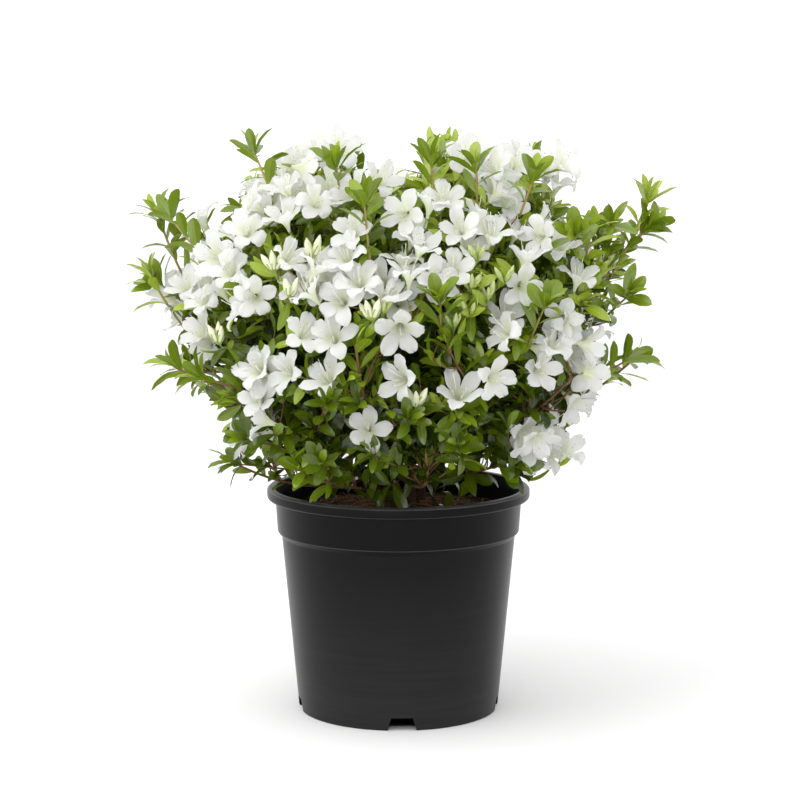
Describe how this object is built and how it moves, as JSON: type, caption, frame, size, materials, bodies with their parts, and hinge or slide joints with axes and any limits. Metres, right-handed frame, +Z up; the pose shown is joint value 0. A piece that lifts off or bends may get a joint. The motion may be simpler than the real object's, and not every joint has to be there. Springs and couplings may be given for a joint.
{
  "type": "potted azalea shrub",
  "caption": "Bushy white-flowering azalea shrub standing in a plain black plastic nursery pot filled with potting mix.",
  "frame": {"origin": "centre of the pot's flat underside", "axes": "+Z up; the picture looks along +Y with +X to the right"},
  "size_m": [0.5229, 0.4935, 0.561],
  "materials": {
    "pot_plastic": "satin near-black moulded plastic",
    "potting_mix": "moist dark brown peat and bark crumbs with fibres",
    "bark": "reddish-brown young bark",
    "foliage": "glossy mid-green leaves with white blooms"
  },
  "bodies": {
    "root": {"pot": "pot_plastic", "potting_mix": "potting_mix", "stem_top_left": "bark", "stem_top_back_left": "bark", "stem_top_back_right": "bark", "stem_top_right": "bark", "stem_top_front": "bark", "stem_front_leader": "bark", "bough_right_high": "bark", "bough_front_right_high": "bark", "bough_front_high": "bark", "bough_front_left_high": "bark", "bough_left_high": "bark", "bough_back_left_high": "bark", "bough_back_right_high": "bark", "bough_back_high": "bark", "bough_right_low": "bark", "bough_front_right_middle": "bark", "bough_front_middle_right": "bark", "bough_front_middle": "bark", "bough_front_left_middle": "bark", "bough_left_middle": "bark", "bough_left_low": "bark", "bough_back_left_middle": "bark", "bough_back_right_middle": "bark", "bough_right_back_middle": "bark", "bough_right_base": "bark", "bough_front_base": "bark", "bough_front_left_base": "bark", "bough_left_base": "bark", "foliage_top_left": "foliage", "foliage_top_back_left": "foliage", "foliage_top_back_right": "foliage", "foliage_top_right": "foliage", "foliage_top_front": "foliage", "foliage_front_leader": "foliage", "foliage_right_high": "foliage", "foliage_front_right_high": "foliage", "foliage_front_high": "foliage", "foliage_front_left_high": "foliage", "foliage_left_high": "foliage", "foliage_back_left_high": "foliage", "foliage_back_right_high": "foliage", "foliage_back_high": "foliage", "foliage_right_low": "foliage", "foliage_front_right_middle": "foliage", "foliage_front_middle_right": "foliage", "foliage_front_middle": "foliage", "foliage_front_left_middle": "foliage", "foliage_left_middle": "foliage", "foliage_left_low": "foliage", "foliage_back_left_middle": "foliage", "foliage_back_right_middle": "foliage", "foliage_right_back_middle": "foliage", "foliage_right_base": "foliage", "foliage_front_base": "foliage", "foliage_front_left_base": "foliage", "foliage_left_base": "foliage"}
  },
  "joints": []
}
